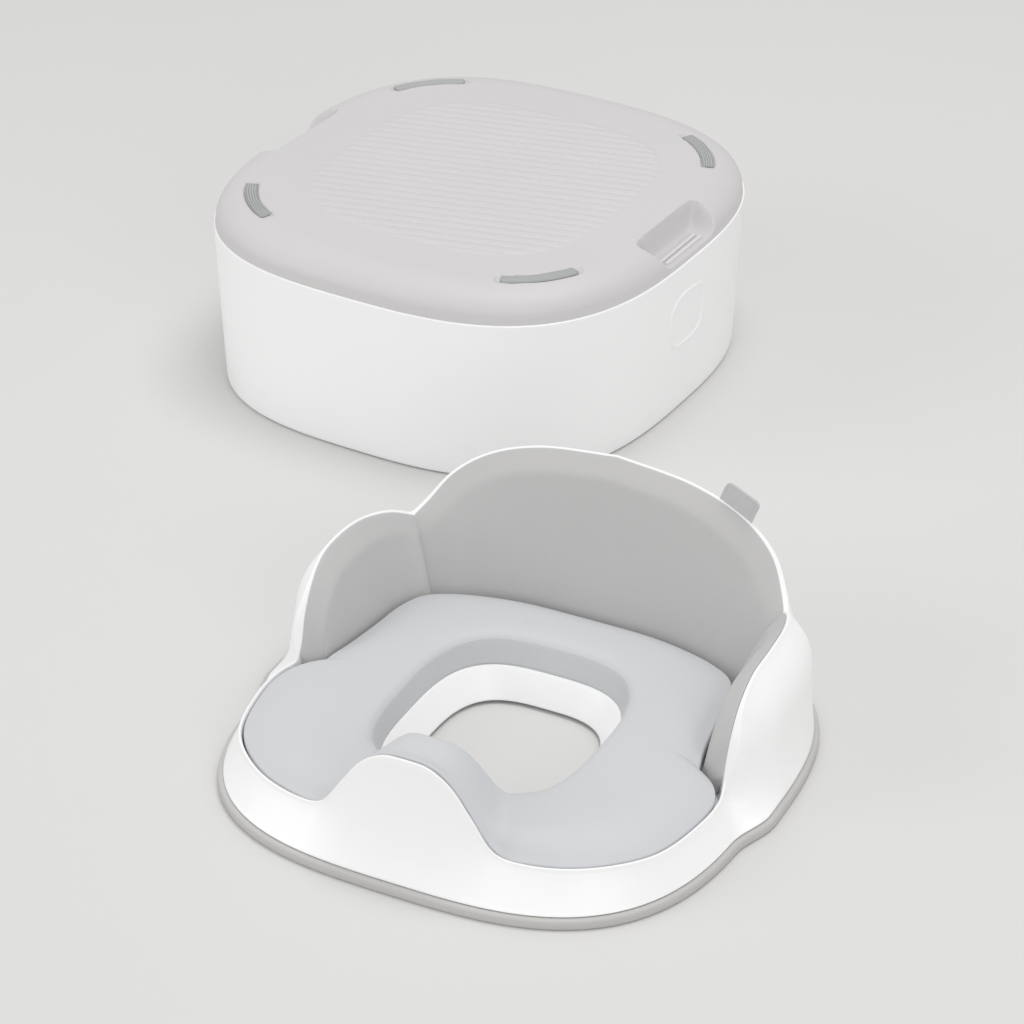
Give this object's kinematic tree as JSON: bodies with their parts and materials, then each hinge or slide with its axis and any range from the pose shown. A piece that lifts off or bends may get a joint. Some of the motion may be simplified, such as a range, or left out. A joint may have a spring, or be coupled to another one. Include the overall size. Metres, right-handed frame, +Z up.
{
  "type": "potty training chair",
  "caption": "Step-stool potty base with a lift-off ribbed lid and inner pot, beside a padded potty seat with armrests, backrest and splash guard.",
  "frame": {"origin": "on the floor, at the middle of the footprint of both units", "axes": "+Z up, the front of both units faces -Y, the base stands behind on the left and the seat in front on the right"},
  "size_m": [0.6704, 0.8222, 0.1514],
  "materials": {
    "white_plastic": "satin moulded polypropylene",
    "grey_plastic": "fine matte texture",
    "grey_rubber": "soft matte thermoplastic rubber",
    "dark_rubber": "matte grooved rubber",
    "grey_padding": "smooth matte foam skin",
    "blue_grey_padding": "smooth matte foam skin, fine grain in the well"
  },
  "bodies": {
    "base": {"tub": "white_plastic", "base_foot_rear_right": "grey_rubber", "base_foot_rear_left": "grey_rubber", "base_foot_front_left": "grey_rubber", "base_foot_front_right": "grey_rubber"},
    "lid": {"lid": "grey_plastic", "tread_grip_rear_right": "dark_rubber", "tread_grip_rear_left": "dark_rubber", "tread_grip_front_left": "dark_rubber", "tread_grip_front_right": "dark_rubber", "handle_grip_right": "grey_rubber", "handle_grip_left": "grey_rubber"},
    "pot": {"pot": "white_plastic"},
    "seat": {"seat_shell": "white_plastic", "seat_rim": "grey_rubber", "back_pad": "grey_padding", "arm_pad_right": "grey_padding", "arm_pad_left": "grey_padding", "tag": "grey_rubber"},
    "padded_ring": {"seat_pad": "blue_grey_padding", "pad_carrier": "white_plastic"}
  },
  "joints": [
    {"name": "lid_lift", "type": "slide", "parent": "base", "child": "lid", "axis": [0, 0, 1], "range_m": [0, 0.16]},
    {"name": "pot_lift", "type": "slide", "parent": "base", "child": "pot", "axis": [0, 0, 1], "range_m": [0, 0.08]},
    {"name": "seat_lift", "type": "slide", "parent": "base", "child": "seat", "axis": [0, 0, 1], "range_m": [0, 0.16]},
    {"name": "pad_lift", "type": "slide", "parent": "seat", "child": "padded_ring", "axis": [0, 0, 1], "range_m": [0, 0.07]}
  ],
  "couplings": [
    {"joint": "pot_lift", "follows": "lid_lift", "ratio": 0.5}
  ]
}
